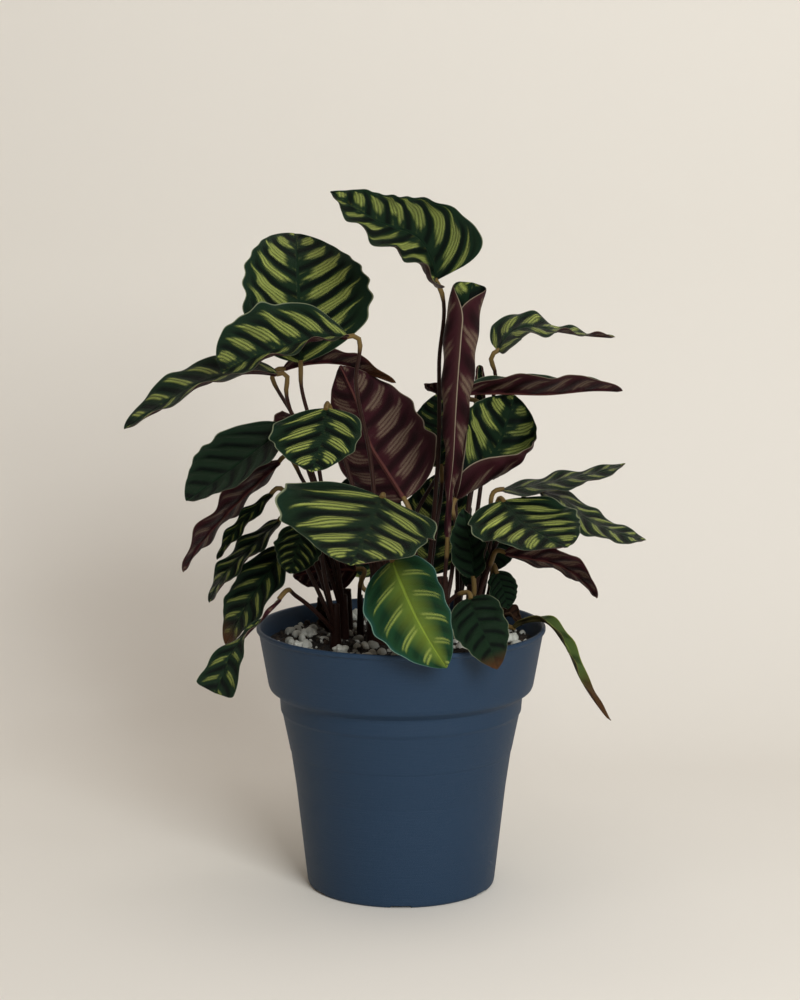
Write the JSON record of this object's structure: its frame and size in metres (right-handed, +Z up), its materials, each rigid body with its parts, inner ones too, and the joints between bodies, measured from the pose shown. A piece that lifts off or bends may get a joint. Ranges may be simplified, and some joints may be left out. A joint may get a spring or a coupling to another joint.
{
  "type": "potted calathea plant",
  "caption": "Calathea with broad feathered leaves on thin dark stems, growing in potting soil in a round tapered nursery pot with a deep collar.",
  "frame": {"origin": "centre of the pot's foot, on the surface that it stands on", "axes": "+Z up along the pot's axis; -Y towards the viewer of the picture's front side"},
  "size_m": [0.3034, 0.2355, 0.4103],
  "materials": {
    "leaf": "dark green upper side with yellow-green feathering, maroon underside, soft sheen",
    "stem": "dark brown, lightly glossy",
    "withered": "dry and matte",
    "perlite": "rough white mineral",
    "soil": "crumbly and matte",
    "pot": "matte dark blue"
  },
  "bodies": {
    "root": {"leaf_back_curl": "leaf", "leaf_back_dark": "leaf", "leaf_back_left": "leaf", "leaf_back_low_left": "leaf", "leaf_back_low_right": "leaf", "leaf_back_right": "leaf", "leaf_big_front": "leaf", "leaf_brown_tip": "leaf", "leaf_dark_left": "leaf", "leaf_drooping_left": "leaf", "leaf_front_bright": "leaf", "leaf_front_dark": "leaf", "leaf_funnel": "leaf", "leaf_left_maroon": "leaf", "leaf_left_shadow": "leaf", "leaf_long_left": "leaf", "leaf_low_left": "leaf", "leaf_low_striped": "leaf", "leaf_over_rim": "leaf", "leaf_purple_centre": "leaf", "leaf_right_brown": "leaf", "leaf_right_dark": "leaf", "leaf_right_folded": "leaf", "leaf_right_front": "leaf", "leaf_right_low": "leaf", "leaf_right_pointed": "leaf", "leaf_right_purple": "leaf", "leaf_right_shadow": "leaf", "leaf_right_top": "leaf", "leaf_right_wide": "leaf", "leaf_rolled": "leaf", "leaf_round": "leaf", "leaf_small_centre": "leaf", "leaf_strap_right": "leaf", "leaf_top": "leaf", "leaf_tucked_left": "leaf", "leaf_upper_left": "leaf", "leaf_withered": "withered", "leaf_withered_curl": "withered", "leaf_young_tip": "leaf", "perlite_1": "perlite", "perlite_2": "perlite", "perlite_3": "perlite", "perlite_4": "perlite", "perlite_5": "perlite", "pot": "pot", "soil": "soil", "stems_back": "stem", "stems_centre": "stem", "stems_edge": "stem", "stems_front": "stem", "stems_left": "stem", "stems_left_dark": "stem", "stems_left_low": "stem", "stems_left_tall": "stem", "stems_right": "stem", "stems_right_low": "stem", "stems_right_tall": "stem", "stems_rolled": "stem", "stems_top": "stem"}
  },
  "joints": []
}
